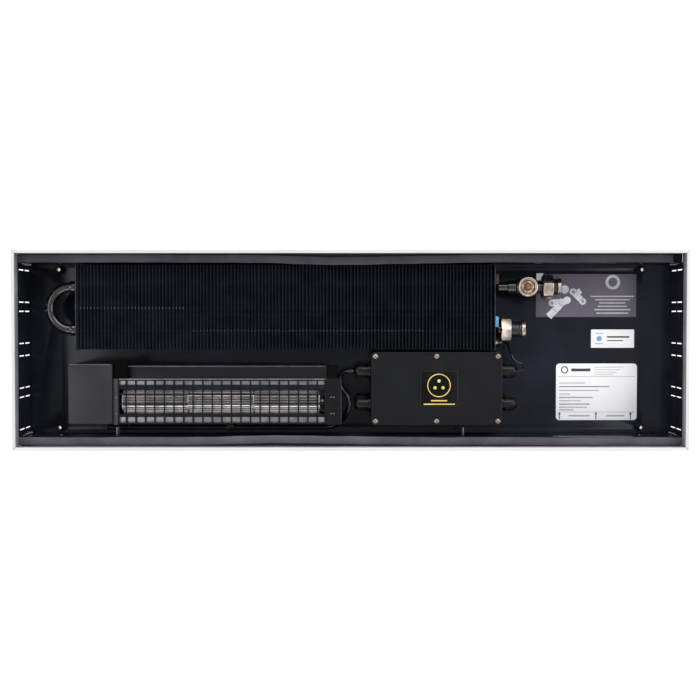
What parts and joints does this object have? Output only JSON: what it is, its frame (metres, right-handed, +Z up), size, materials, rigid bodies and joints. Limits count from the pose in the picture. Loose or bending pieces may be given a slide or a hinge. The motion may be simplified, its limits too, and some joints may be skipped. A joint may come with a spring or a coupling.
{
  "type": "trench convector heater",
  "caption": "Low floor trough with a white frame, finned water heat exchanger, cross-flow fan with motor and guard, vent and pipe unions, and a sealed electrical box; the grille is lifted out",
  "frame": {"origin": "middle of the underside of the trough, on the floor that it rests on", "axes": "+X along the trough from the fan motor towards the pipe and cable bay, +Y from the fan towards the heat exchanger, +Z up"},
  "size_m": [0.808, 0.24, 0.075],
  "materials": {
    "black_powder_coat": "semi-gloss black powder coat on folded steel sheet",
    "matt_black_coat": "thin matt black coat on fins, tube and guard",
    "white_powder_coat": "satin white powder coat",
    "zinc_sheet": "bright galvanised sheet",
    "nickel_plate": "nickel plate on turned brass",
    "brass": "turned brass",
    "aluminium_blades": "bright rolled aluminium",
    "bright_steel": "zinc-plated steel",
    "foam_tape": "soft grey cellular tape",
    "black_rubber": "matt black rubber",
    "black_plastic": "fine-grained moulded plastic",
    "red_plastic": "moulded plastic ring",
    "blue_plastic": "moulded plastic ring",
    "circuit_board": "lacquered board",
    "white_label": "printed film label and pale moulded plastic",
    "grey_label": "printed film label",
    "black_label": "printed film label"
  },
  "bodies": {
    "root": {"bearing_bush": "black_plastic", "cable_gland_left_1": "black_plastic", "cable_gland_left_2": "black_plastic", "cable_gland_right_1": "black_plastic", "cable_gland_right_2": "black_plastic", "casing_trough": "black_powder_coat", "connection_label": "grey_label", "control_board": "circuit_board", "damper_block": "black_rubber", "damping_strip_front": "foam_tape", "damping_strip_rear": "foam_tape", "earth_lead": "black_rubber", "earth_screw": "bright_steel", "end_wall_left": "black_powder_coat", "end_wall_right": "black_powder_coat", "exchanger_plate_left": "matt_black_coat", "exchanger_plate_right": "matt_black_coat", "fan_guard": "matt_black_coat", "fan_lead": "black_rubber", "fan_motor": "bright_steel", "fan_plate_left": "black_powder_coat", "fan_plate_right": "black_powder_coat", "fan_tongue": "black_powder_coat", "fan_volute": "zinc_sheet", "fin_pack": "matt_black_coat", "frame_rail_front": "white_powder_coat", "frame_rail_left": "white_powder_coat", "frame_rail_rear": "white_powder_coat", "frame_rail_right": "white_powder_coat", "heating_tube": "matt_black_coat", "inlet_marker": "red_plastic", "inlet_tail": "nickel_plate", "lead_clip": "black_plastic", "levelling_nut_1": "bright_steel", "levelling_nut_2": "bright_steel", "levelling_nut_3": "bright_steel", "levelling_nut_4": "bright_steel", "lid_label": "black_label", "lid_screw_1": "nickel_plate", "lid_screw_2": "nickel_plate", "lid_screw_3": "nickel_plate", "lid_screw_4": "nickel_plate", "lid_screw_5": "nickel_plate", "lid_screw_6": "nickel_plate", "motor_cover": "black_powder_coat", "rating_label": "white_label", "return_marker": "blue_plastic", "return_tail": "nickel_plate", "small_label": "white_label", "terminal_block": "white_label", "terminal_box": "black_plastic", "terminal_box_lid": "black_plastic", "transformer": "bright_steel", "vent_tee": "nickel_plate"},
    "impeller": {"impeller": "aluminium_blades", "drive_shaft": "bright_steel", "idler_shaft": "bright_steel"},
    "inlet_nut": {"inlet_union_nut": "nickel_plate"},
    "return_nut": {"return_union_nut": "nickel_plate"},
    "vent_key": {"vent_screw": "brass"}
  },
  "joints": [
    {"name": "impeller_spin", "type": "hinge", "parent": "root", "child": "impeller", "pos_m": [-0.158, -0.063, 0.028], "axis": [1, 0, 0], "continuous": true},
    {"name": "inlet_nut_spin", "type": "hinge", "parent": "root", "child": "inlet_nut", "pos_m": [0.241, 0.0763, 0.03], "axis": [1, 0, 0], "continuous": true},
    {"name": "return_nut_spin", "type": "hinge", "parent": "root", "child": "return_nut", "pos_m": [0.19, 0.0243, 0.03], "axis": [1, 0, 0], "continuous": true},
    {"name": "vent_screw_turn", "type": "hinge", "parent": "root", "child": "vent_key", "pos_m": [0.2155, 0.0763, 0.0435], "axis": [0, 0, 1], "range_deg": [0, 360]}
  ]
}
